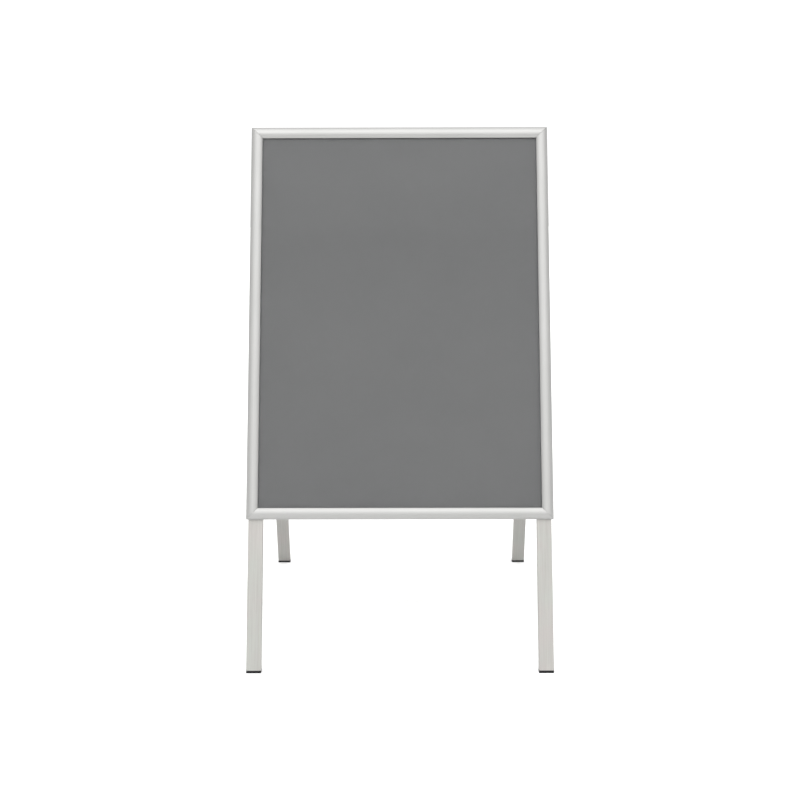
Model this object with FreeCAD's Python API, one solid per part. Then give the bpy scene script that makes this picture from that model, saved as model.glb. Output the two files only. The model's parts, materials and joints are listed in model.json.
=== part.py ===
"""Folding A-board (sandwich board) with two snap-frame poster boards on aluminium legs.

Units are millimetres. +Z is up, +X is to the viewer's right and the front board leans towards -Y.
The origin is on the floor, midway between the four feet.

Each board is drawn lying down in its own frame, then stood up:
    X  across the board, as in the world
    T  (drawn as Y) up the slope, zero on the main hinge line
    H  (drawn as Z) outwards from the fold plane, zero on the main hinge line
The rear board is the same board turned half round about the vertical.
"""
import FreeCAD, Part
import math
import os

# ---- the whole board -------------------------------------------------------------------------
POSTER_W = 600.0            # poster format, across
POSTER_H = 800.0            # poster format, up the slope
LEAN = 17.6                 # each board's lean from the vertical, degrees
LEG_REACH = 1128.0          # hinge line to floor, along the slope
FRAME_RISE = 4.0            # top edge of the frame above the hinge line, along the slope
FOLD_GAP = 1.0              # fold plane to the nearest face of a leg

# ---- the snap frame --------------------------------------------------------------------------
POSTER_INSET = 15.0         # outer edge of the frame to the edge of the poster
RAIL_W = 24.0               # visible width of a rail
RAIL_H = 12.0               # height of a rail from its back to its crest
FLOOR_T = 1.4               # base rail: wall under the panel
FLOOR_REACH = 22.0          # base rail: outer edge of the frame to the inner end of the floor
UPSTAND_T = 1.2             # base rail: rib that the sheets stop against
COVER_T = 1.3               # snap cover: wall
BEAD_R = 1.4                # snap cover: round hinge bead
BEAD_U = 2.6                # bead centre, inwards from the outer edge of the frame
BEAD_H = 3.0                # bead centre, above the back of the rail
BEAD_FIT = 0.05             # bead to socket, radial
SOCKET_T = 1.15             # base rail: wall round the bead
SOCKET_FROM = -122.0        # socket wall, degrees round the bead from straight inwards
SOCKET_TO = 80.0
COVER_R = 16.0              # snap cover: outer radius of its arc
COVER_CREST = 13.0          # snap cover: crest of its arc, inwards from the frame's outer edge
COVER_EDGE = 0.4            # snap cover: outer end of its arc, inwards from that same edge
COVER_LIP_H = 4.9           # foot of the turned-down lip, above the back of the rail
NECK_T = 1.2                # web between the bead and the cover's arc
NECK_H = 3.6                # bead centre to the top of the web
NECK_OUT = 0.9              # outer side of the web's foot, outwards from the bead's centre
NECK_LEAN = 0.5             # how far the top of the web leans outwards
MITRE_GAP = 0.35            # between two neighbouring covers
MITRE_OVERRUN = 20.0        # length of the mitre cut beyond the rail's section

# ---- the sheets ------------------------------------------------------------------------------
PANEL_T = 1.6
PANEL_BORDER = 2.0          # panel past the poster's edge
POSTER_T = 0.3
CLEAR_T = 0.5
SHEET_SLACK = 0.5           # sheets to the base rail's upstand

# ---- fittings inside the snap frame ----------------------------------------------------------
SPRING_T = 0.5
SPRING_L = 30.0
SPRING_FOOT = 4.6           # width of the spring's flat foot
SPRING_RISE = 5.2           # height of the spring above the floor
SPRING_AT = 0.3             # share of the rail's length from its middle
BRACKET_T = 1.8
BRACKET_W = 4.6
BRACKET_L = 50.0            # corner bracket, each arm, from the outer corner
CHANNEL_GAP = 0.6           # between the socket and what lies in the channel
BRACKET_SCREW_R = 1.5
BRACKET_SCREW_L = 3.0
BRACKET_SCREW_BACK = 12.0   # screw to the bracket's tip
SCREW_FIT = 0.05
FRAME_SCREW_R = 1.6
FRAME_SCREW_HEAD_R = 2.4
FRAME_SCREW_HEAD_T = 1.5
FRAME_SCREW_BITE = 3.0      # screw below the back of the rail
FRAME_SCREW_END = 80.0      # first screw from the end of the side rail
FRAME_SCREWS = 5
CROSS_L = 3.0               # cross recess in a frame screw's head
CROSS_W = 0.7
CROSS_DEPTH = 0.8
SOCKET_AF = 1.5             # hexagon recess in a bracket screw, across the flats
SOCKET_DEPTH = 1.4

# ---- legs ------------------------------------------------------------------------------------
LEG_W = 30.0
LEG_T = 15.0
LEG_WALL = 1.3
LEG_ROUND = 1.1             # outer edges of the tube, rounded over
LEG_INSET = 4.5             # outer edge of the frame to the leg
LEG_TOP = 12.0              # hinge line to the top of the tube
CAP_FLANGE = 2.0
CAP_PLUG = 12.0
PLUG_FIT = 0.1
FOOT_RIM = 5.0              # rubber showing below the tube
FOOT_PLUG = 18.0

# ---- main hinge ------------------------------------------------------------------------------
EYE_R = 8.0
PLATE_T = 2.5
PLATE_W = 13.0
PLATE_L = 78.0              # hinge line to the plate's lower end
PLATE_NECK = 24.0           # hinge line to where the plate reaches its full width
PLATE_CLEAR = 0.3           # between the two hinge plates, and under the bolt head
JOG_START = 12.0
JOG_L = 6.0
HINGE_BOLT_R = 3.0
HINGE_FIT = 0.05
BOLT_HEAD_AF = 10.0         # across the flats of bolt head and nut
BOLT_HEAD_T = 4.0
NUT_T = 5.0
BOLT_TAIL = 1.0             # thread showing past the nut
PLATE_RIVET_R = 2.0
PLATE_RIVET_HEAD_R = 3.6
PLATE_RIVET_HEAD_T = 1.2
PLATE_RIVET_TAIL = 1.8
PLATE_RIVETS_AT = (44.0, 66.0)

# ---- folding stays ---------------------------------------------------------------------------
STAY_AT = 430.0             # hinge line to a stay's pivot on the leg, along the slope
STAY_L = 320.0              # pivot to pivot of one arm
STAY_R = 7.0                # half the width of an arm, and its rounded ends
STAY_T = 2.0
STAY_SIDE_GAP = 0.4         # between an arm and what it slides past
STAY_RIVET_R = 2.5
STAY_RIVET_FIT = 0.05
STAY_RIVET_HEAD_R = 4.5
STAY_RIVET_HEAD_T = 1.6
STAY_RIVET_TAIL = 2.0
STAY_MID_SLACK = 0.5        # rivet to the slot at the middle of a stay
STAY_SLOT_SPARE = 0.3       # slot past the rivet's own travel

# ---- worked out from the sizes above ---------------------------------------------------------
FRAME_W = POSTER_W + 2 * POSTER_INSET
FRAME_H = POSTER_H + 2 * POSTER_INSET
LEAN_RAD = math.radians(LEAN)
HINGE_Z = LEG_REACH * math.cos(LEAN_RAD)
LEG_H0 = FOLD_GAP
LEG_H1 = FOLD_GAP + LEG_T
LEG_MID_H = FOLD_GAP + LEG_T / 2
LEG_OUT_X = FRAME_W / 2 - LEG_INSET
LEG_IN_X = LEG_OUT_X - LEG_W
FRAME_MID_T = FRAME_RISE - FRAME_H / 2
SOCKET_R = BEAD_R + BEAD_FIT + SOCKET_T
UPSTAND_IN = POSTER_INSET - PANEL_BORDER - SHEET_SLACK
CHANNEL_U = BEAD_U + SOCKET_R + CHANNEL_GAP
SHEETS_H = FLOOR_T + PANEL_T + POSTER_T + CLEAR_T
FRONT_ARM_W = STAY_SIDE_GAP
REAR_ARM_W = FRONT_ARM_W + STAY_T + STAY_SIDE_GAP

ORIGIN = FreeCAD.Vector(0, 0, 0)
X_AXIS = FreeCAD.Vector(1, 0, 0)
Z_AXIS = FreeCAD.Vector(0, 0, 1)
RAILS = {                   # length, frame size across it, turn about the frame's middle
    "bottom": (FRAME_W, FRAME_H, 0),
    "right": (FRAME_H, FRAME_W, 90),
    "top": (FRAME_W, FRAME_H, 180),
    "left": (FRAME_H, FRAME_W, 270),
}


# ---- drawing helpers -------------------------------------------------------------------------
def vec(x, y, z):
    return FreeCAD.Vector(x, y, z)


def block(x0, x1, y0, y1, z0, z1):
    return Part.makeBox(x1 - x0, y1 - y0, z1 - z0, vec(x0, y0, z0))


def rod_x(x0, x1, y, z, radius):
    return Part.makeCylinder(radius, x1 - x0, vec(x0, y, z), X_AXIS)


def rod_z(x, y, z0, z1, radius):
    return Part.makeCylinder(radius, z1 - z0, vec(x, y, z0), Z_AXIS)


def line(p, q):
    """A straight edge in the YZ plane."""
    return Part.LineSegment(vec(0, *p), vec(0, *q)).toShape()


def polar(centre, radius, degrees):
    turn = math.radians(degrees)
    return (centre[0] + radius * math.cos(turn), centre[1] + radius * math.sin(turn))


def degrees_at(centre, radius, across):
    """Direction from a centre to the upper point of its circle that lies at a given place across."""
    return math.degrees(math.acos((across - centre[0]) / radius))


def arc(centre, radius, start, end):
    """A round edge in the YZ plane, from one direction to another, in degrees."""
    points = [polar(centre, radius, degrees) for degrees in (start, (start + end) / 2, end)]
    return Part.Arc(*[vec(0, *point) for point in points]).toShape()


def prism(edges, x0, x1):
    """A closed outline of edges in the YZ plane, stretched from x0 to x1."""
    solid = Part.Face(Part.Wire(Part.__sortEdges__(edges))).extrude(vec(x1 - x0, 0, 0))
    solid.translate(vec(x0, 0, 0))
    return solid


def polygon(points, x0, x1):
    edges = [line(p, q) for p, q in zip(points, points[1:] + points[:1])]
    return prism(edges, x0, x1)


def hexagon_x(x0, x1, y, z, across_flats):
    corner = across_flats / math.sqrt(3)
    return polygon([polar((y, z), corner, 60 * k) for k in range(6)], x0, x1)


def hexagon_z(x, y, z0, z1, across_flats):
    corner = across_flats / math.sqrt(3)
    ring = [vec(x + dx, y + dy, z0) for dx, dy in (polar((0, 0), corner, 60 * k) for k in range(6))]
    return Part.Face(Part.makePolygon(ring + ring[:1])).extrude(vec(0, 0, z1 - z0))


def dome(base, outward, radius, height):
    """Round head: the cap of a ball, standing on its flat base."""
    ball = (radius ** 2 + height ** 2) / (2 * height)
    centre = base - outward * (ball - height)
    keep = Part.makeCylinder(radius, height, base, outward)
    return Part.makeSphere(ball, centre, outward).common(keep).Solids[0]


def span(side, w0, w1):
    """X range of what lies from w0 to w1 inside the inner face of the leg on one side."""
    ends = (side * (LEG_IN_X - w0), side * (LEG_IN_X - w1))
    return min(ends), max(ends)


def joined(*shapes):
    return shapes[0].fuse(list(shapes[1:])).removeSplitter().Solids[0]


# ---- the snap frame --------------------------------------------------------------------------
def mitred(shape, length, gap):
    """Cut a rail's two ends at 45 degrees, half of the gap back from the corner's diagonal."""
    back = gap / math.sqrt(2)
    near = -MITRE_OVERRUN
    far = RAIL_W + MITRE_OVERRUN
    half = length / 2 - back
    corners = [(-half + near, near), (half - near, near), (half - far, far), (-half + far, far)]
    points = [vec(x, y, near) for x, y in corners]
    wedge = Part.Face(Part.makePolygon(points + points[:1])).extrude(vec(0, 0, far - near))
    return shape.common(wedge).Solids[0]


def seated(shape, across, turn):
    """Move a rail's piece from its own frame to its edge of the board."""
    moved = shape.copy()
    moved.translate(vec(0, -across / 2, 0))
    moved.rotate(ORIGIN, Z_AXIS, turn)
    moved.translate(vec(0, FRAME_MID_T, LEG_H1))
    return moved


def base_rail(length):
    """Extruded base: a floor, a rib that stops the sheets, and the socket for the bead."""
    bead = (BEAD_U, BEAD_H)
    inner = BEAD_R + BEAD_FIT
    socket = prism([
        arc(bead, inner, SOCKET_FROM, SOCKET_TO),
        line(polar(bead, inner, SOCKET_TO), polar(bead, SOCKET_R, SOCKET_TO)),
        arc(bead, SOCKET_R, SOCKET_FROM, SOCKET_TO),
        line(polar(bead, SOCKET_R, SOCKET_FROM), polar(bead, inner, SOCKET_FROM)),
    ], -length / 2, length / 2)
    floor = block(-length / 2, length / 2, BEAD_U, FLOOR_REACH, 0, FLOOR_T)
    upstand = block(-length / 2, length / 2, UPSTAND_IN - UPSTAND_T, UPSTAND_IN, 0, SHEETS_H)
    hole = rod_x(-length / 2, length / 2, BEAD_U, BEAD_H, inner)
    return mitred(joined(floor, socket, upstand).cut(hole), length, 0.0)


def snap_cover(length):
    """Extruded cover: a shallow arc with a turned-down lip, a web and a round hinge bead."""
    centre = (COVER_CREST, RAIL_H - COVER_R)
    inner_r = COVER_R - COVER_T
    lip_in = RAIL_W - COVER_T
    outer_end = degrees_at(centre, COVER_R, COVER_EDGE)
    shoulder = degrees_at(centre, COVER_R, RAIL_W)
    lip_top = degrees_at(centre, inner_r, lip_in)
    shell = prism([
        arc(centre, COVER_R, outer_end, shoulder),
        line(polar(centre, COVER_R, shoulder), (RAIL_W, COVER_LIP_H)),
        line((RAIL_W, COVER_LIP_H), (lip_in, COVER_LIP_H)),
        line((lip_in, COVER_LIP_H), polar(centre, inner_r, lip_top)),
        arc(centre, inner_r, lip_top, outer_end),
        line(polar(centre, inner_r, outer_end), polar(centre, COVER_R, outer_end)),
    ], -length / 2, length / 2)
    web_out = BEAD_U - NECK_OUT
    web_in = web_out + NECK_T
    web = polygon([
        (web_out, BEAD_H),
        (web_in, BEAD_H),
        (web_in - NECK_LEAN, BEAD_H + NECK_H),
        (web_out - NECK_LEAN, BEAD_H + NECK_H),
    ], -length / 2, length / 2)
    bead = rod_x(-length / 2, length / 2, BEAD_U, BEAD_H, BEAD_R)
    cover = mitred(joined(shell, web, bead), length, MITRE_GAP)
    # The bead stops short of the corners, so that it turns clear of the neighbouring rail.
    bead_end = length / 2 - BEAD_U - BEAD_R - MITRE_GAP
    trims = [block(min(end), max(end), 0, RAIL_W, 0, BEAD_H + BEAD_R)
             for end in ((bead_end, length), (-length, -bead_end))]
    return cover.cut(trims).Solids[0]


def snap_spring():
    """A bent leaf: a flat foot on the floor and a curl that presses on the cover."""
    heel = CHANNEL_U + SPRING_T
    toe = heel + SPRING_FOOT
    curl = SPRING_RISE / 2
    middle = (heel + curl, FLOOR_T + curl)
    outer = [
        line((toe, FLOOR_T), (middle[0], FLOOR_T)),
        arc(middle, curl, -90, -270),
        line((middle[0], FLOOR_T + SPRING_RISE), (middle[0], FLOOR_T + SPRING_RISE - SPRING_T)),
        arc(middle, curl - SPRING_T, -270, -90),
        line((middle[0], FLOOR_T + SPRING_T), (toe, FLOOR_T + SPRING_T)),
        line((toe, FLOOR_T + SPRING_T), (toe, FLOOR_T)),
    ]
    return prism(outer, -SPRING_L / 2, SPRING_L / 2)


def grub_screw(x, y, low):
    high = low + BRACKET_SCREW_L
    screw = rod_z(x, y, low, high, BRACKET_SCREW_R)
    return screw.cut(hexagon_z(x, y, high - SOCKET_DEPTH, high, SOCKET_AF)).Solids[0]


def corner_pieces():
    """Corner brackets and their screws, at the four corners of one frame."""
    brackets = []
    screws = []
    low = LEG_H1 + FLOOR_T
    high = low + BRACKET_T
    left = -FRAME_W / 2
    bottom = -FRAME_H / 2
    outer = CHANNEL_U
    inner = CHANNEL_U + BRACKET_W
    mid = (outer + inner) / 2
    screw_in = BRACKET_L - BRACKET_SCREW_BACK
    along = block(left + outer, left + BRACKET_L, bottom + outer, bottom + inner, low, high)
    up = block(left + outer, left + inner, bottom + outer, bottom + BRACKET_L, low, high)
    bracket = joined(along, up)
    corner_screws = []
    for x, y in ((left + screw_in, bottom + mid), (left + mid, bottom + screw_in)):
        bracket = bracket.cut(rod_z(x, y, low, high, BRACKET_SCREW_R + SCREW_FIT)).Solids[0]
        corner_screws.append(grub_screw(x, y, low))
    for mirrored in (False, True):
        for turn in (0, 180):
            brackets.append(to_corner(bracket, mirrored, turn))
            screws.extend(to_corner(screw, mirrored, turn) for screw in corner_screws)
    return brackets, screws


def to_corner(piece, mirrored, turn):
    """A piece drawn for the lower left corner, about the frame's middle, put at its own corner."""
    placed = piece.mirror(ORIGIN, X_AXIS) if mirrored else piece.copy()
    placed.rotate(ORIGIN, Z_AXIS, turn)
    placed.translate(vec(0, FRAME_MID_T, 0))
    return placed


def frame_screw_places():
    """Where the side rails are screwed to the legs: X and T of each screw, right side first."""
    reach = FRAME_H / 2 - FRAME_SCREW_END
    x = FRAME_W / 2 - (CHANNEL_U + FRAME_SCREW_HEAD_R)
    steps = [2 * k / (FRAME_SCREWS - 1) - 1 for k in range(FRAME_SCREWS)]
    return [(side * x, FRAME_MID_T + reach * step) for side in (1, -1) for step in steps]


def frame_screw(x, t):
    """Domed screw with a cross recess."""
    floor_h = LEG_H1 + FLOOR_T
    top = floor_h + FRAME_SCREW_HEAD_T
    shank = rod_z(x, t, LEG_H1 - FRAME_SCREW_BITE, floor_h, FRAME_SCREW_R)
    head = dome(vec(x, t, floor_h), Z_AXIS, FRAME_SCREW_HEAD_R, FRAME_SCREW_HEAD_T)
    recess = [block(x - long, x + long, t - wide, t + wide, top - CROSS_DEPTH, top)
              for long, wide in ((CROSS_L / 2, CROSS_W / 2), (CROSS_W / 2, CROSS_L / 2))]
    return joined(shank, head).cut(recess).Solids[0]


def sheet(border, low, thickness):
    """A flat sheet that stands past the poster's edge by the border."""
    half_w = POSTER_W / 2 + border
    half_h = POSTER_H / 2 + border
    height = LEG_H1 + low
    return block(-half_w, half_w, FRAME_MID_T - half_h, FRAME_MID_T + half_h,
                 height, height + thickness)


# ---- legs ------------------------------------------------------------------------------------
def slope_at(height, h):
    """T of the point that stands at a height above the floor, h out from the fold plane."""
    return (height - HINGE_Z - h * math.sin(LEAN_RAD)) / math.cos(LEAN_RAD)


def leg_bar(side, margin, top_t, end_height):
    """The leg's section less a margin all round, from top_t down to a cut level with the floor."""
    ends = sorted((side * (LEG_IN_X + margin), side * (LEG_OUT_X - margin)))
    low = LEG_H0 + margin
    high = LEG_H1 - margin
    corners = [(top_t, low), (slope_at(end_height, low), low),
               (slope_at(end_height, high), high), (top_t, high)]
    return polygon(corners, *ends)


def edges_rounded(bar):
    """Round over the long edges of a leg's outer section."""
    long_edges = [edge for edge in bar.Edges if abs(edge.BoundBox.XLength) < LEG_WALL
                  and edge.BoundBox.ZLength < LEG_WALL]
    return bar.makeFillet(LEG_ROUND, long_edges)


def leg(side, holes):
    tube = edges_rounded(leg_bar(side, 0.0, -LEG_TOP, FOOT_RIM))
    tube = tube.cut(leg_bar(side, LEG_WALL, 0.0, -FOOT_RIM))
    return tube.cut(holes).Solids[0]


def foot(side):
    """Rubber foot: a rim below the tube, cut level with the floor, and a plug up inside it."""
    ends = sorted((side * LEG_IN_X, side * LEG_OUT_X))
    corners = [(slope_at(height, h), h) for height, h in
               ((0, LEG_H0), (0, LEG_H1), (FOOT_RIM, LEG_H1), (FOOT_RIM, LEG_H0))]
    rim = edges_rounded(polygon(corners, *ends))
    margin = LEG_WALL + PLUG_FIT
    plug_top = slope_at(FOOT_RIM + FOOT_PLUG, LEG_MID_H)
    return joined(rim, leg_bar(side, margin, plug_top, FOOT_RIM))


def top_cap(side):
    """Plug that closes the top of the tube, with a flange on its end."""
    ends = sorted((side * LEG_IN_X, side * LEG_OUT_X))
    flange = block(*ends, -LEG_TOP, -LEG_TOP + CAP_FLANGE, LEG_H0, LEG_H1)
    margin = LEG_WALL + PLUG_FIT
    inner = sorted((side * (LEG_IN_X + margin), side * (LEG_OUT_X - margin)))
    plug = block(*inner, -LEG_TOP - CAP_PLUG, -LEG_TOP, LEG_H0 + margin, LEG_H1 - margin)
    return joined(flange, plug)


# ---- main hinge ------------------------------------------------------------------------------
def eye_outline(x0, x1):
    """The hinge plate's eye and the tapered neck that runs down to its full width."""
    low = LEG_MID_H - PLATE_W / 2
    high = LEG_MID_H + PLATE_W / 2
    reach = math.hypot(PLATE_NECK, high)
    turn = math.degrees(math.atan2(high, -PLATE_NECK)) - math.degrees(math.acos(EYE_R / reach))
    neck = polygon([(0, 0), polar((0, 0), EYE_R, turn), (-PLATE_NECK, high),
                    (-PLATE_NECK, low), (-EYE_R, low)], x0, x1)
    return joined(neck, rod_x(x0, x1, 0, 0, EYE_R))


def hinge_plate(side, joggled):
    """Flat steel plate on the inner face of a leg. The rear one steps over the front one."""
    low = LEG_MID_H - PLATE_W / 2
    high = LEG_MID_H + PLATE_W / 2
    step = PLATE_T + PLATE_CLEAR if joggled else 0.0
    x0, x1 = span(side, step, step + PLATE_T)
    upper = eye_outline(x0, x1)
    if joggled:
        keep = block(x0, x1, -JOG_START, 2 * EYE_R, -2 * EYE_R, 2 * EYE_R)
        upper = upper.common(keep).Solids[0]
    straight_top = JOG_START + JOG_L if joggled else PLATE_NECK
    flat0, flat1 = span(side, 0, PLATE_T)
    flat = block(flat0, flat1, -PLATE_L + PLATE_W / 2, -straight_top, low, high)
    end = rod_x(flat0, flat1, -PLATE_L + PLATE_W / 2, LEG_MID_H, PLATE_W / 2)
    pieces = [upper, flat, end]
    if joggled:
        pieces.append(jog(side, step, low, high))
    plate = joined(*pieces)
    hole = rod_x(-FRAME_W, FRAME_W, 0, 0, HINGE_BOLT_R + HINGE_FIT)
    return plate.cut([hole] + plate_rivet_holes()).Solids[0]


def jog(side, step, low, high):
    """The sloping web between the plate's flat and its stepped-over eye."""
    top = -JOG_START
    bottom = -JOG_START - JOG_L
    wall = [(0, bottom), (PLATE_T, bottom), (step + PLATE_T, top), (step, top)]
    points = [vec(side * (LEG_IN_X - w), t, low) for w, t in wall]
    return Part.Face(Part.makePolygon(points + points[:1])).extrude(vec(0, 0, high - low))


def plate_rivet_holes():
    radius = PLATE_RIVET_R + SCREW_FIT
    reach = LEG_IN_X + LEG_W / 2
    return [rod_x(-reach, reach, -at, LEG_MID_H, radius) for at in PLATE_RIVETS_AT]


def plate_rivet(side, at):
    x0, x1 = span(side, -LEG_WALL - PLATE_RIVET_TAIL, PLATE_T)
    shank = rod_x(x0, x1, -at, LEG_MID_H, PLATE_RIVET_R)
    base = vec(side * (LEG_IN_X - PLATE_T), -at, LEG_MID_H)
    return joined(shank, dome(base, X_AXIS * -side, PLATE_RIVET_HEAD_R, PLATE_RIVET_HEAD_T))


def hinge_bolt(side):
    """Bolt through both eyes: its head inside, its thread showing past the nut outside."""
    head_w = 2 * PLATE_T + 2 * PLATE_CLEAR
    x0, x1 = span(side, -NUT_T - BOLT_TAIL, head_w)
    h0, h1 = span(side, head_w, head_w + BOLT_HEAD_T)
    bolt = joined(rod_x(x0, x1, 0, HINGE_Z, HINGE_BOLT_R),
                  hexagon_x(h0, h1, 0, HINGE_Z, BOLT_HEAD_AF))
    return bolt


def hinge_nut(side):
    x0, x1 = span(side, -NUT_T, 0)
    nut = hexagon_x(x0, x1, 0, HINGE_Z, BOLT_HEAD_AF)
    return nut.cut(rod_x(x0, x1, 0, HINGE_Z, HINGE_BOLT_R)).Solids[0]


# ---- folding stays ---------------------------------------------------------------------------
def stay_angle(lean):
    """An arm's angle from the vertical when each board leans by this much, in radians."""
    return math.asin((STAY_AT * math.sin(lean) + LEG_MID_H * math.cos(lean)) / STAY_L)


def stay_turn():
    """How far an arm turns on its leg while the boards close, in radians."""
    return stay_angle(LEAN_RAD) - stay_angle(0.0) + LEAN_RAD


def stay_slot():
    """Length of the slot at the middle of a stay: what steady turning misses at half fold."""
    half_lean = LEAN_RAD / 2
    steady = stay_angle(LEAN_RAD) - (stay_turn() / 2 - half_lean)
    return 2 * STAY_L * abs(steady - stay_angle(half_lean)) + STAY_SLOT_SPARE


def stay_pivot():
    """Y and Z of the rear leg's stay pivot, with the boards open."""
    reach = STAY_AT * math.sin(LEAN_RAD) + LEG_MID_H * math.cos(LEAN_RAD)
    height = HINGE_Z - STAY_AT * math.cos(LEAN_RAD) + LEG_MID_H * math.sin(LEAN_RAD)
    return reach, height


def stay_arm(side, depth, w0, slotted):
    """Flat arm from a leg's pivot (depth -1 front, +1 rear) down to the middle of the stay."""
    x0, x1 = span(side, w0, w0 + STAY_T)
    bar = block(x0, x1, 0, STAY_L, -STAY_R, STAY_R)
    arm = joined(bar, rod_x(x0, x1, 0, 0, STAY_R), rod_x(x0, x1, STAY_L, 0, STAY_R))
    holes = [rod_x(x0, x1, 0, 0, STAY_RIVET_R + STAY_RIVET_FIT)]
    if slotted:
        radius = STAY_RIVET_R + STAY_MID_SLACK
        far = stay_slot()
        holes.append(rod_x(x0, x1, STAY_L, 0, radius))
        holes.append(rod_x(x0, x1, STAY_L, far, radius))
        holes.append(block(x0, x1, STAY_L - radius, STAY_L + radius, 0, far))
    else:
        holes.append(rod_x(x0, x1, STAY_L, 0, STAY_RIVET_R + SCREW_FIT))
    arm = arm.cut(holes).Solids[0]
    reach, height = stay_pivot()
    arm.rotate(ORIGIN, X_AXIS, -90 - depth * math.degrees(stay_angle(LEAN_RAD)))
    arm.translate(vec(0, depth * reach, height))
    return arm


def stay_pivot_rivet(side, depth, w0):
    """Shouldered rivet in the leg that an arm turns on."""
    y, z = stay_pivot()
    y *= depth
    arm_end = w0 + STAY_T + STAY_SIDE_GAP
    x0, x1 = span(side, -LEG_WALL - STAY_RIVET_TAIL, arm_end)
    shank = rod_x(x0, x1, y, z, STAY_RIVET_R)
    head = dome(vec(side * (LEG_IN_X - arm_end), y, z), X_AXIS * -side,
                STAY_RIVET_HEAD_R, STAY_RIVET_HEAD_T)
    pieces = [shank, head]
    shoulder = w0 - STAY_SIDE_GAP
    if shoulder > 0:
        s0, s1 = span(side, 0, shoulder)
        pieces.append(rod_x(s0, s1, y, z, STAY_RIVET_HEAD_R))
    return joined(*pieces)


def stay_mid_rivet(side):
    """Rivet that joins the two arms. It is fast in the front arm and slides in the rear one."""
    y = 0.0
    z = stay_pivot()[1] - STAY_L * math.cos(stay_angle(LEAN_RAD))
    end = REAR_ARM_W + STAY_T + STAY_SIDE_GAP
    x0, x1 = span(side, FRONT_ARM_W, end)
    head = dome(vec(side * (LEG_IN_X - end), y, z), X_AXIS * -side,
                STAY_RIVET_HEAD_R, STAY_RIVET_HEAD_T)
    return joined(rod_x(x0, x1, y, z, STAY_RIVET_R), head)


# ---- one board, then the whole object --------------------------------------------------------
def board_pieces(prefix, side_names, joggled):
    """Every piece of one board in its own lying frame, except the stays."""
    pieces = {}
    frame_screws = [frame_screw(x, t) for x, t in frame_screw_places()]
    screw_holes = [rod_z(x, t, 0, LEG_H1 + FLOOR_T, FRAME_SCREW_R + SCREW_FIT)
                   for x, t in frame_screw_places()]
    brackets, bracket_screws = corner_pieces()
    springs = []
    for rail, (length, across, turn) in RAILS.items():
        name = {"right": side_names[1], "left": side_names[-1]}.get(rail, rail)
        base = seated(base_rail(length), across, turn)
        pieces[f"base_rail_{name}"] = base.cut(screw_holes).Solids[0]
        pieces[f"snap_cover_{name}"] = seated(snap_cover(length), across, turn)
        for end in (-1, 1):
            spring = snap_spring()
            spring.translate(vec(end * SPRING_AT * length, 0, 0))
            springs.append(seated(spring, across, turn))
    pieces["snap_springs"] = Part.makeCompound(springs)
    pieces["corner_brackets"] = Part.makeCompound(brackets)
    pieces["bracket_screws"] = Part.makeCompound(bracket_screws)
    pieces["frame_screws"] = Part.makeCompound(frame_screws)
    pieces["back_panel"] = sheet(PANEL_BORDER, FLOOR_T, PANEL_T)
    pieces["poster"] = sheet(0.0, FLOOR_T + PANEL_T, POSTER_T)
    pieces["clear_sheet"] = sheet(PANEL_BORDER, FLOOR_T + PANEL_T + POSTER_T, CLEAR_T)
    pivot_hole = rod_x(-LEG_IN_X - LEG_W / 2, LEG_IN_X + LEG_W / 2, -STAY_AT, LEG_MID_H,
                       STAY_RIVET_R + STAY_RIVET_FIT)
    leg_holes = screw_holes + plate_rivet_holes() + [pivot_hole]
    for side in (1, -1):
        name = side_names[side]
        pieces[f"leg_{name}"] = leg(side, leg_holes)
        pieces[f"foot_{name}"] = foot(side)
        pieces[f"hinge_plate_{name}"] = hinge_plate(side, joggled)
    pieces["leg_caps"] = Part.makeCompound([top_cap(side) for side in (1, -1)])
    pieces["hinge_rivets"] = Part.makeCompound(
        [plate_rivet(side, at) for side in (1, -1) for at in PLATE_RIVETS_AT])
    return {f"{prefix}_{name}": shape for name, shape in pieces.items()}


def stood_up(shape, turn):
    """Stand a lying board up on its lean, then turn it about the vertical."""
    lift = FreeCAD.Placement(vec(0, 0, HINGE_Z), FreeCAD.Rotation(X_AXIS, 90 - LEAN))
    about = FreeCAD.Placement(ORIGIN, FreeCAD.Rotation(Z_AXIS, turn))
    placed = shape.copy()
    placed.Placement = about.multiply(lift).multiply(placed.Placement)
    return placed


def model():
    nodes = {}
    boards = (("front", {1: "right", -1: "left"}, False, 0),
              ("rear", {1: "left", -1: "right"}, True, 180))
    for prefix, side_names, joggled, turn in boards:
        for name, shape in board_pieces(prefix, side_names, joggled).items():
            nodes[name] = stood_up(shape, turn)
    nodes["hinge_bolts"] = Part.makeCompound([hinge_bolt(side) for side in (1, -1)])
    nodes["hinge_nuts"] = Part.makeCompound([hinge_nut(side) for side in (1, -1)])
    arms = (("front", -1, FRONT_ARM_W, False), ("rear", 1, REAR_ARM_W, True))
    for prefix, depth, w0, slotted in arms:
        for side, name in ((1, "right"), (-1, "left")):
            nodes[f"{prefix}_stay_arm_{name}"] = stay_arm(side, depth, w0, slotted)
        nodes[f"{prefix}_stay_pivots"] = Part.makeCompound(
            [stay_pivot_rivet(side, depth, w0) for side in (1, -1)])
    for side, name in ((1, "right"), (-1, "left")):
        nodes[f"stay_middle_rivet_{name}"] = stay_mid_rivet(side)
    return nodes


os.makedirs("parts", exist_ok=True)
for node, shape in model().items():
    if not shape.isValid():
        raise ValueError(f"{node} is not a valid shape")
    shape.exportStep(f"parts/{node}.step")
print("stay turn, degrees:", round(math.degrees(stay_turn()), 4))
print("stay slot, mm:", round(stay_slot(), 3))
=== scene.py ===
"""Looks for the folding A-board: materials for every CAD node, studio light, floor and camera.

Lengths are metres, in the CAD model's own frame: +Z up, the front board on the -Y side.
"""
import json
import math

import bpy
from mathutils import Matrix, Vector

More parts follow.
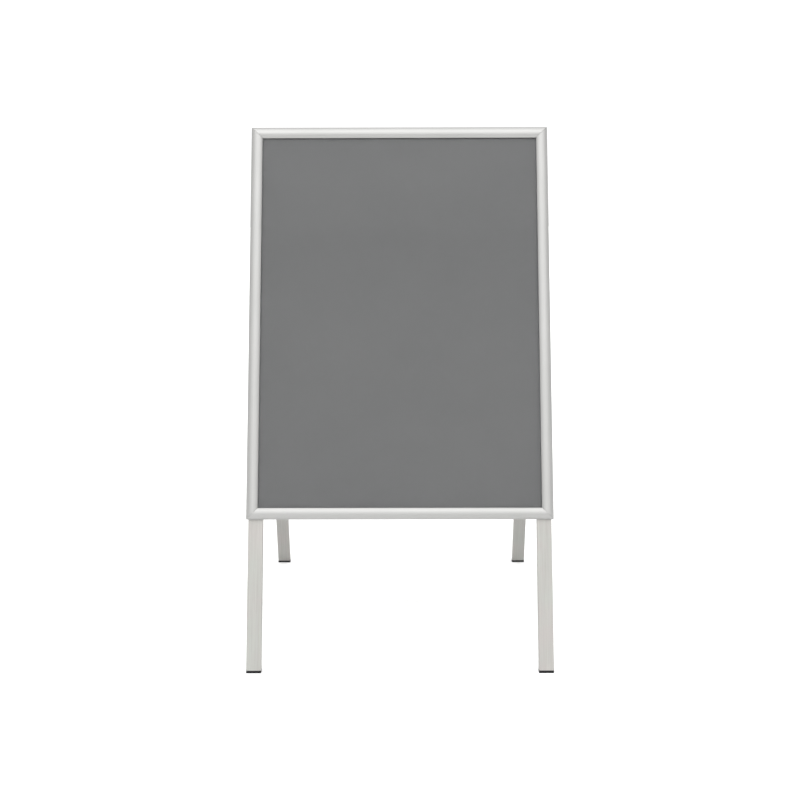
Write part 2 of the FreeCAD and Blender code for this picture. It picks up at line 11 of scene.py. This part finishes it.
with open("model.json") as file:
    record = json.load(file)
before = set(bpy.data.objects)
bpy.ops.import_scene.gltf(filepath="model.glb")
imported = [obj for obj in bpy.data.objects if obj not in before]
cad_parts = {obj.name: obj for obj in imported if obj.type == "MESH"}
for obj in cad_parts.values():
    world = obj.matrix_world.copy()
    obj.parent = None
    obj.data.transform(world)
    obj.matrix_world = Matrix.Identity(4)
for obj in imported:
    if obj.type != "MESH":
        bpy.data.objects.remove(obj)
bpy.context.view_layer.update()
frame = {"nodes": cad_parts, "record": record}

# ---- the frame's own directions --------------------------------------------------------------
JOINTS = {joint["name"]: joint for joint in frame["record"]["behaviour"]["joints"]}
LEAN = math.radians(JOINTS["main_fold"]["range_deg"][1] / 2)
BOARD_TURNS = {
    "front": (LEAN - math.pi / 2, 0.0, 0.0),
    "rear": (math.pi / 2 - LEAN, 0.0, math.pi),
}

# ---- camera ----------------------------------------------------------------------------------
CAMERA_AT = (0.0135, -2.9176, 1.0861)
CAMERA_DOWN = math.radians(9.440)
CAMERA_YAW = math.radians(0.263)
CAMERA_ROLL = math.radians(-0.156)
CAMERA_LENS = 60.359
CAMERA_SHIFT_Y = -0.0625

# ---- studio ----------------------------------------------------------------------------------
SOFT_BOXES = (0.0, -0.45, 0.80)     # front and overhead; its dot product with a direction is used below
SKY_DIM_AT = 0.30                   # up to this dot product the sky is at its dimmest
SKY_BRIGHT_AT = 0.92                # from this one on it is at its brightest
SKY_LOW = 1.15
SKY_HIGH = 2.42
KEY_AT = (0.0, -1.6, 3.4)
KEY_TARGET = (0.0, -0.15, 0.65)
KEY_SIZE = (3.0, 2.0)
KEY_POWER = 9.0
FLOOR_RADIUS = 12.0
FLOOR_SIDES = 96

# ---- most of a noise texture's values lie between these two ----------------------------------
NOISE_LOW = 0.3
NOISE_HIGH = 0.7


# ---- material helpers ------------------------------------------------------------------------
class Finish:
    """A node material on one Principled shader, with short calls for what the finishes share."""

    def __init__(self, name, **values):
        self.material = bpy.data.materials.new(name)
        self.material.use_nodes = True
        self.nodes = self.material.node_tree.nodes
        self.links = self.material.node_tree.links
        self.shader = self.nodes["Principled BSDF"]
        for socket, value in values.items():
            self.shader.inputs[socket.replace("_", " ")].default_value = value

    def node(self, kind, **settings):
        made = self.nodes.new(kind)
        for name, value in settings.items():
            setattr(made, name, value)
        return made

    def coordinates(self, turn=(0.0, 0.0, 0.0), scale=(1.0, 1.0, 1.0)):
        """Object coordinates, turned to lie with a board and stretched."""
        source = self.node("ShaderNodeTexCoord").outputs["Object"]
        turned = self.node("ShaderNodeMapping")
        turned.inputs["Rotation"].default_value = turn
        self.links.new(source, turned.inputs["Vector"])
        scaled = self.node("ShaderNodeMapping")
        scaled.inputs["Scale"].default_value = scale
        self.links.new(turned.outputs["Vector"], scaled.inputs["Vector"])
        return scaled.outputs["Vector"]

    def noise(self, vector, scale, detail=3.0, roughness=0.55):
        made = self.node("ShaderNodeTexNoise")
        made.inputs["Scale"].default_value = scale
        made.inputs["Detail"].default_value = detail
        made.inputs["Roughness"].default_value = roughness
        self.links.new(vector, made.inputs["Vector"])
        return made.outputs["Fac"]

    def ramp(self, value, dark, light, low=NOISE_LOW, high=NOISE_HIGH):
        """Go from a dark to a light colour while a value goes from low to high."""
        made = self.node("ShaderNodeValToRGB")
        ends = made.color_ramp.elements
        ends[0].position, ends[0].color = low, (*dark, 1.0)
        ends[1].position, ends[1].color = high, (*light, 1.0)
        self.links.new(value, made.inputs["Fac"])
        return made.outputs["Color"]

    def span(self, value, low, high):
        """Stretch a noise value to run from low to high."""
        made = self.node("ShaderNodeMapRange")
        made.inputs["From Min"].default_value = NOISE_LOW
        made.inputs["From Max"].default_value = NOISE_HIGH
        made.inputs["To Min"].default_value = low
        made.inputs["To Max"].default_value = high
        self.links.new(value, made.inputs["Value"])
        return made.outputs["Result"]

    def multiply(self, first, second):
        made = self.node("ShaderNodeMix", data_type="RGBA", blend_type="MULTIPLY")
        made.inputs["Factor"].default_value = 1.0
        self.links.new(first, made.inputs["A"])
        self.links.new(second, made.inputs["B"])
        return made.outputs["Result"]

    def bump(self, height, strength, distance):
        """Stack another bump on whatever the shader's normal already has."""
        made = self.node("ShaderNodeBump")
        made.inputs["Strength"].default_value = strength
        made.inputs["Distance"].default_value = distance
        self.links.new(height, made.inputs["Height"])
        normal = self.shader.inputs["Normal"]
        if normal.is_linked:
            self.links.new(normal.links[0].from_socket, made.inputs["Normal"])
        self.links.new(made.outputs["Normal"], normal)

    def drive(self, socket, output):
        self.links.new(output, self.shader.inputs[socket])


def grey(level):
    return (level, level, level)


def darker(colour, share):
    return tuple((1.0 - share) * part for part in colour)


# ---- finishes --------------------------------------------------------------------------------
ANODISED = 0.375            # how much light the anodised extrusions send back
DIE_LINES_ACROSS = 220.0    # noise stretch across an extrusion, and along it
DIE_LINES_ALONG = 1.5


def extruded_aluminium(name, turn, along):
    """Satin anodised extrusion: fine die lines along its length and a faint matt grain."""
    finish = Finish(name, Metallic=0.9)
    stretch = [DIE_LINES_ACROSS] * 3
    stretch[along] = DIE_LINES_ALONG
    lines = finish.noise(finish.coordinates(turn, stretch), scale=5.0, detail=4.0)
    grain = finish.noise(finish.coordinates(turn), scale=1400.0, detail=2.0)
    cloud = finish.noise(finish.coordinates(turn), scale=7.0, detail=2.0)
    light = (ANODISED, ANODISED * 0.995, ANODISED * 0.98)
    tone = finish.ramp(lines, darker(light, 0.07), light)
    patches = finish.ramp(cloud, (0.965, 0.97, 0.965), grey(1.0), low=0.35)
    finish.drive("Base Color", finish.multiply(tone, patches))
    finish.drive("Roughness", finish.span(grain, low=0.36, high=0.46))
    finish.bump(lines, strength=0.10, distance=0.0004)
    finish.bump(grain, strength=0.05, distance=0.0002)
    return finish.material


def brushed_tube(name, turn):
    """Leg tube: anodised over brushing that runs the length of the tube."""
    finish = Finish(name, Metallic=0.85)
    brushing = finish.noise(finish.coordinates(turn, (700.0, 9.0, 700.0)),
                            scale=1.0, detail=5.0, roughness=0.7)
    broad = finish.noise(finish.coordinates(turn, (120.0, 3.0, 120.0)), scale=1.0, detail=3.0)
    drift = finish.noise(finish.coordinates(turn), scale=16.0, detail=2.0)
    dark = (0.308, 0.300, 0.291)
    light = (0.402, 0.396, 0.389)
    tone = finish.ramp(brushing, dark, light, low=0.25, high=0.75)
    bands = finish.ramp(broad, (0.94, 0.93, 0.93), (1.0, 1.0, 0.99))
    tint = finish.ramp(drift, (0.97, 1.0, 0.97), (1.0, 0.98, 0.97), low=0.35, high=0.65)
    finish.drive("Base Color", finish.multiply(finish.multiply(tone, bands), tint))
    finish.drive("Roughness", finish.span(brushing, low=0.40, high=0.52))
    finish.bump(brushing, strength=0.16, distance=0.0003)
    return finish.material


def printed_insert(name, turn):
    """Plain grey insert with faint level lines and a little unevenness."""
    finish = Finish(name, Roughness=0.52, Specular_IOR_Level=0.4)
    lines = finish.node("ShaderNodeTexWave", bands_direction="Y", wave_profile="SIN")
    lines.inputs["Scale"].default_value = 45.0
    lines.inputs["Distortion"].default_value = 0.25
    lines.inputs["Detail"].default_value = 1.0
    finish.links.new(finish.coordinates(turn), lines.inputs["Vector"])
    streaks = finish.noise(finish.coordinates(turn, (8.0, 260.0, 8.0)),
                           scale=1.0, detail=4.0, roughness=0.65)
    cloud = finish.noise(finish.coordinates(turn), scale=3.2, detail=3.0)
    light = (0.1025, 0.1035, 0.1050)
    dark = (0.0985, 0.0995, 0.1010)
    tone = finish.ramp(lines.outputs["Fac"], dark, light, low=0.0, high=1.0)
    threads = finish.ramp(streaks, (0.96, 0.965, 0.965), (1.02, 1.015, 1.015))
    patches = finish.ramp(cloud, (0.955, 0.96, 0.965), grey(1.03))
    finish.drive("Base Color", finish.multiply(finish.multiply(tone, threads), patches))
    finish.bump(lines.outputs["Fac"], strength=0.05, distance=0.0003)
    finish.bump(streaks, strength=0.04, distance=0.0003)
    return finish.material


def clear_sheet(name, turn):
    """Anti-glare sheet: nearly clear, with a soft uneven gloss."""
    finish = Finish(name, Base_Color=(0.10, 0.10, 0.10, 1.0), Alpha=0.14, Specular_IOR_Level=0.6)
    texture = finish.noise(finish.coordinates(turn), scale=900.0, detail=2.0)
    waves = finish.noise(finish.coordinates(turn, (1.0, 3.0, 1.0)), scale=2.4, detail=2.0)
    finish.drive("Roughness", finish.span(waves, low=0.28, high=0.40))
    finish.bump(texture, strength=0.02, distance=0.0002)
    finish.bump(waves, strength=0.15, distance=0.003)
    return finish.material


def moulded(name, colour, roughness, mottle=0.15, **values):
    """Moulded plastic or rubber with a fine spark-eroded grain."""
    finish = Finish(name, **values)
    grain = finish.noise(finish.coordinates(), scale=900.0, detail=3.0)
    cloud = finish.noise(finish.coordinates(), scale=30.0, detail=2.0)
    finish.drive("Base Color", finish.ramp(cloud, darker(colour, mottle), colour))
    finish.drive("Roughness", finish.span(grain, low=roughness - 0.06, high=roughness + 0.06))
    finish.bump(grain, strength=0.2, distance=0.0003)
    return finish.material


def plated_steel(name, level, roughness):
    """Zinc-plated steel with faint rolling marks and a mottled sheen."""
    finish = Finish(name, Metallic=1.0)
    mottle = finish.noise(finish.coordinates(), scale=160.0, detail=4.0, roughness=0.6)
    marks = finish.noise(finish.coordinates(scale=(40.0, 900.0, 900.0)), scale=1.0, detail=3.0)
    cool = (level * 0.97, level * 0.985, level)
    finish.drive("Base Color", finish.ramp(mottle, darker(cool, 0.18), cool))
    finish.drive("Roughness", finish.span(mottle, low=roughness - 0.07, high=roughness + 0.08))
    finish.bump(marks, strength=0.08, distance=0.0002)
    return finish.material


def floor_paint(name):
    """Matt pale paint with a faint speckle."""
    finish = Finish(name, Specular_IOR_Level=0.2, Roughness=0.8)
    speckle = finish.noise(finish.coordinates(), scale=60.0, detail=2.0)
    finish.drive("Base Color", finish.ramp(speckle, grey(0.91), grey(0.93)))
    return finish.material


# ---- which node gets which finish ------------------------------------------------------------
def dress_cad_nodes():
    ALONG_X, ALONG_SLOPE = 0, 1
    made = {
        "steel": plated_steel("zinc_plated_steel", level=0.42, roughness=0.36),
        "spring": plated_steel("spring_steel", level=0.33, roughness=0.28),
        "rubber": moulded("foot_rubber", (0.010, 0.010, 0.011), roughness=0.72,
                          Specular_IOR_Level=0.2),
        "cap": moulded("cap_plastic", (0.03, 0.03, 0.032), roughness=0.5),
        "panel": moulded("panel_plastic", (0.50, 0.50, 0.49), roughness=0.6, mottle=0.03),
    }
    for board, turn in BOARD_TURNS.items():
        made[board + "_level"] = extruded_aluminium(board + "_level_rail", turn, ALONG_X)
        made[board + "_side"] = extruded_aluminium(board + "_side_rail", turn, ALONG_SLOPE)
        made[board + "_leg"] = brushed_tube(board + "_leg_tube", turn)
        made[board + "_insert"] = printed_insert(board + "_grey_insert", turn)
        made[board + "_clear"] = clear_sheet(board + "_anti_glare", turn)
    for name, obj in frame["nodes"].items():
        obj.data.materials.clear()
        obj.data.materials.append(made[finish_for(name)])


def finish_for(name):
    board = name.split("_")[0]
    if "base_rail" in name or "snap_cover" in name:
        level = name.endswith(("top", "bottom"))
        return board + ("_level" if level else "_side")
    if name.endswith(("leg_left", "leg_right")):
        return board + "_leg"
    for word, finish in (("poster", board + "_insert"), ("clear_sheet", board + "_clear"),
                         ("back_panel", "panel"), ("leg_caps", "cap"), ("foot", "rubber"),
                         ("snap_springs", "spring")):
        if word in name:
            return finish
    return "steel"


# ---- studio ----------------------------------------------------------------------------------
def add_floor():
    bpy.ops.mesh.primitive_circle_add(vertices=FLOOR_SIDES, radius=FLOOR_RADIUS, fill_type="NGON")
    floor = bpy.context.object
    floor.name = "studio_floor"
    floor.data.materials.append(floor_paint("studio_floor_paint"))


def add_area_light(name, location, target, size, energy):
    light = bpy.data.lights.new(name, "AREA")
    light.shape = "RECTANGLE"
    light.size, light.size_y = size
    light.energy = energy
    lamp = bpy.data.objects.new(name, light)
    lamp.location = location
    direction = Vector(target) - Vector(location)
    lamp.rotation_euler = direction.to_track_quat("-Z", "Y").to_euler()
    bpy.context.scene.collection.objects.link(lamp)


def add_sky():
    """White all round, and brightest in front and overhead, where large soft boxes would hang."""
    world = bpy.data.worlds.new("studio_white")
    bpy.context.scene.world = world
    world.use_nodes = True
    nodes = world.node_tree.nodes
    links = world.node_tree.links
    direction = nodes.new("ShaderNodeTexCoord")
    towards_boxes = nodes.new("ShaderNodeVectorMath")
    towards_boxes.operation = "DOT_PRODUCT"
    towards_boxes.inputs[1].default_value = SOFT_BOXES
    links.new(direction.outputs["Generated"], towards_boxes.inputs[0])
    level = nodes.new("ShaderNodeMapRange")
    level.interpolation_type = "SMOOTHSTEP"
    level.inputs["From Min"].default_value = SKY_DIM_AT
    level.inputs["From Max"].default_value = SKY_BRIGHT_AT
    level.inputs["To Min"].default_value = SKY_LOW
    level.inputs["To Max"].default_value = SKY_HIGH
    links.new(towards_boxes.outputs["Value"], level.inputs["Value"])
    links.new(level.outputs["Result"], nodes["Background"].inputs["Strength"])
    nodes["Background"].inputs["Color"].default_value = (1.0, 1.0, 1.0, 1.0)


def add_camera():
    data = bpy.data.cameras.new("camera")
    data.lens = CAMERA_LENS
    data.sensor_width = 36.0
    data.shift_y = CAMERA_SHIFT_Y
    camera = bpy.data.objects.new("camera", data)
    camera.matrix_world = (
        Matrix.Translation(CAMERA_AT)
        @ Matrix.Rotation(CAMERA_YAW, 4, "Z")
        @ Matrix.Rotation(math.pi / 2 - CAMERA_DOWN, 4, "X")
        @ Matrix.Rotation(CAMERA_ROLL, 4, "Z")
    )
    bpy.context.scene.collection.objects.link(camera)
    bpy.context.scene.camera = camera


bpy.context.scene.view_settings.view_transform = "Standard"
dress_cad_nodes()
add_floor()
add_sky()
add_area_light("key_overhead", KEY_AT, KEY_TARGET, KEY_SIZE, KEY_POWER)
add_camera()
